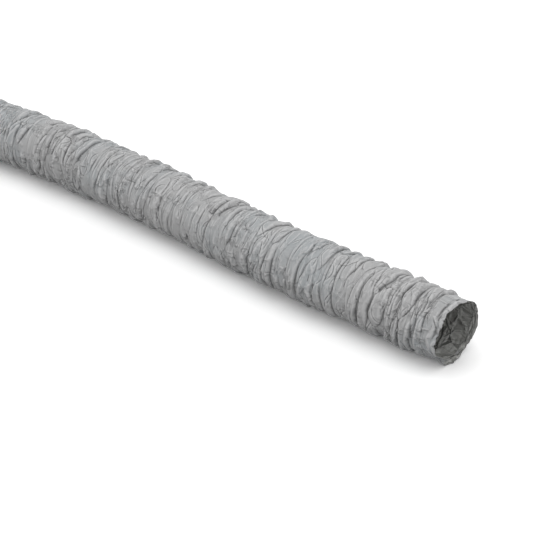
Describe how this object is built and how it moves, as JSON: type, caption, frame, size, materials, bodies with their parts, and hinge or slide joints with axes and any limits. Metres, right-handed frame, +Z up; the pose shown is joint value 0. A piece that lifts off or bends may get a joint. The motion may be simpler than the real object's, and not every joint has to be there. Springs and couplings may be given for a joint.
{
  "type": "flexible air duct",
  "caption": "Flexible ribbed air duct of coated fabric on a steel wire helix, with a plain cuff at each open mouth; it bends, stretches and packs down.",
  "frame": {"origin": "centre of the near mouth's bore, at the mouth's face", "axes": "+X out of the near mouth along its bore, +Z up from the surface that the duct lies on; the duct runs towards -X"},
  "size_m": [1.1917, 0.149, 0.1157],
  "materials": {
    "outer_ply": "grey coated fabric, semi-matt, creased",
    "inner_ply": "grey coated fabric, matt",
    "wire": "bright drawn spring steel"
  },
  "bodies": {
    "link_01": {"skin_01": "outer_ply", "liner_01": "inner_ply", "wire_01": "wire", "bellows_01": "outer_ply", "liner_fold_01": "inner_ply"},
    "link_02": {"skin_02": "outer_ply", "liner_02": "inner_ply", "wire_02": "wire", "bellows_02": "outer_ply", "liner_fold_02": "inner_ply"},
    "link_03": {"skin_03": "outer_ply", "liner_03": "inner_ply", "wire_03": "wire", "bellows_03": "outer_ply", "liner_fold_03": "inner_ply"},
    "link_04": {"skin_04": "outer_ply", "liner_04": "inner_ply", "wire_04": "wire", "bellows_04": "outer_ply", "liner_fold_04": "inner_ply"},
    "link_05": {"skin_05": "outer_ply", "liner_05": "inner_ply", "wire_05": "wire", "bellows_05": "outer_ply", "liner_fold_05": "inner_ply"},
    "link_06": {"skin_06": "outer_ply", "liner_06": "inner_ply", "wire_06": "wire", "bellows_06": "outer_ply", "liner_fold_06": "inner_ply"},
    "link_07": {"skin_07": "outer_ply", "liner_07": "inner_ply", "wire_07": "wire", "bellows_07": "outer_ply", "liner_fold_07": "inner_ply"},
    "link_08": {"skin_08": "outer_ply", "liner_08": "inner_ply", "wire_08": "wire", "bellows_08": "outer_ply", "liner_fold_08": "inner_ply"},
    "link_09": {"skin_09": "outer_ply", "liner_09": "inner_ply", "wire_09": "wire", "bellows_09": "outer_ply", "liner_fold_09": "inner_ply"},
    "link_10": {"skin_10": "outer_ply", "liner_10": "inner_ply", "wire_10": "wire", "bellows_10": "outer_ply", "liner_fold_10": "inner_ply"},
    "link_11": {"skin_11": "outer_ply", "liner_11": "inner_ply", "wire_11": "wire", "bellows_11": "outer_ply", "liner_fold_11": "inner_ply"},
    "link_12": {"skin_12": "outer_ply", "liner_12": "inner_ply", "wire_12": "wire"}
  },
  "joints": [
    {"name": "bend_side_01", "type": "hinge", "parent": "link_01", "child": "link_02", "pos_m": [-0.09249, -0.00098, 0], "axis": [0, 0, 1], "range_deg": [-25, 25], "deforming": ["bellows_01", "liner_fold_01", "wire_01"]},
    {"name": "bend_up_02", "type": "hinge", "parent": "link_02", "child": "link_03", "pos_m": [-0.1924, -0.00507, 0], "axis": [-0.048, 0.9988, 0], "range_deg": [-25, 25], "deforming": ["bellows_02", "liner_fold_02", "wire_02"]},
    {"name": "stretch_03", "type": "slide", "parent": "link_03", "child": "link_04", "axis": [-0.9998, -0.0218, 0], "range_m": [-0.054, 0.025], "deforming": ["bellows_03", "liner_fold_03", "wire_03"]},
    {"name": "bend_side_04", "type": "hinge", "parent": "link_04", "child": "link_05", "pos_m": [-0.3923, -0.00861, 0], "axis": [0, 0, 1], "range_deg": [-25, 25], "deforming": ["bellows_04", "liner_fold_04", "wire_04"]},
    {"name": "bend_up_05", "type": "hinge", "parent": "link_05", "child": "link_06", "pos_m": [-0.49222, -0.00469, 0], "axis": [0.0436, 0.999, 0], "range_deg": [-25, 25], "deforming": ["bellows_05", "liner_fold_05", "wire_05"]},
    {"name": "stretch_06", "type": "slide", "parent": "link_06", "child": "link_07", "axis": [-0.9997, 0.0262, 0], "range_m": [-0.054, 0.025], "deforming": ["bellows_06", "liner_fold_06", "wire_06"]},
    {"name": "bend_side_07", "type": "hinge", "parent": "link_07", "child": "link_08", "pos_m": [-0.69214, 0.00038, 0], "axis": [0, 0, 1], "range_deg": [-25, 25], "deforming": ["bellows_07", "liner_fold_07", "wire_07"]},
    {"name": "bend_up_08", "type": "hinge", "parent": "link_08", "child": "link_09", "pos_m": [-0.79213, -0.00016, 0], "axis": [-0.0131, 0.9999, 0], "range_deg": [-25, 25], "deforming": ["bellows_08", "liner_fold_08", "wire_08"]},
    {"name": "stretch_09", "type": "slide", "parent": "link_09", "child": "link_10", "axis": [-0.999, -0.0436, 0], "range_m": [-0.054, 0.025], "deforming": ["bellows_09", "liner_fold_09", "wire_09"]},
    {"name": "bend_side_10", "type": "hinge", "parent": "link_10", "child": "link_11", "pos_m": [-0.99182, -0.0097, 0], "axis": [0, 0, 1], "range_deg": [-25, 25], "deforming": ["bellows_10", "liner_fold_10", "wire_10"]},
    {"name": "bend_up_11", "type": "hinge", "parent": "link_11", "child": "link_12", "pos_m": [-1.09105, -0.02188, 0], "axis": [-0.1478, 0.989, 0], "range_deg": [-25, 25], "deforming": ["bellows_11", "liner_fold_11", "wire_11"]}
  ]
}
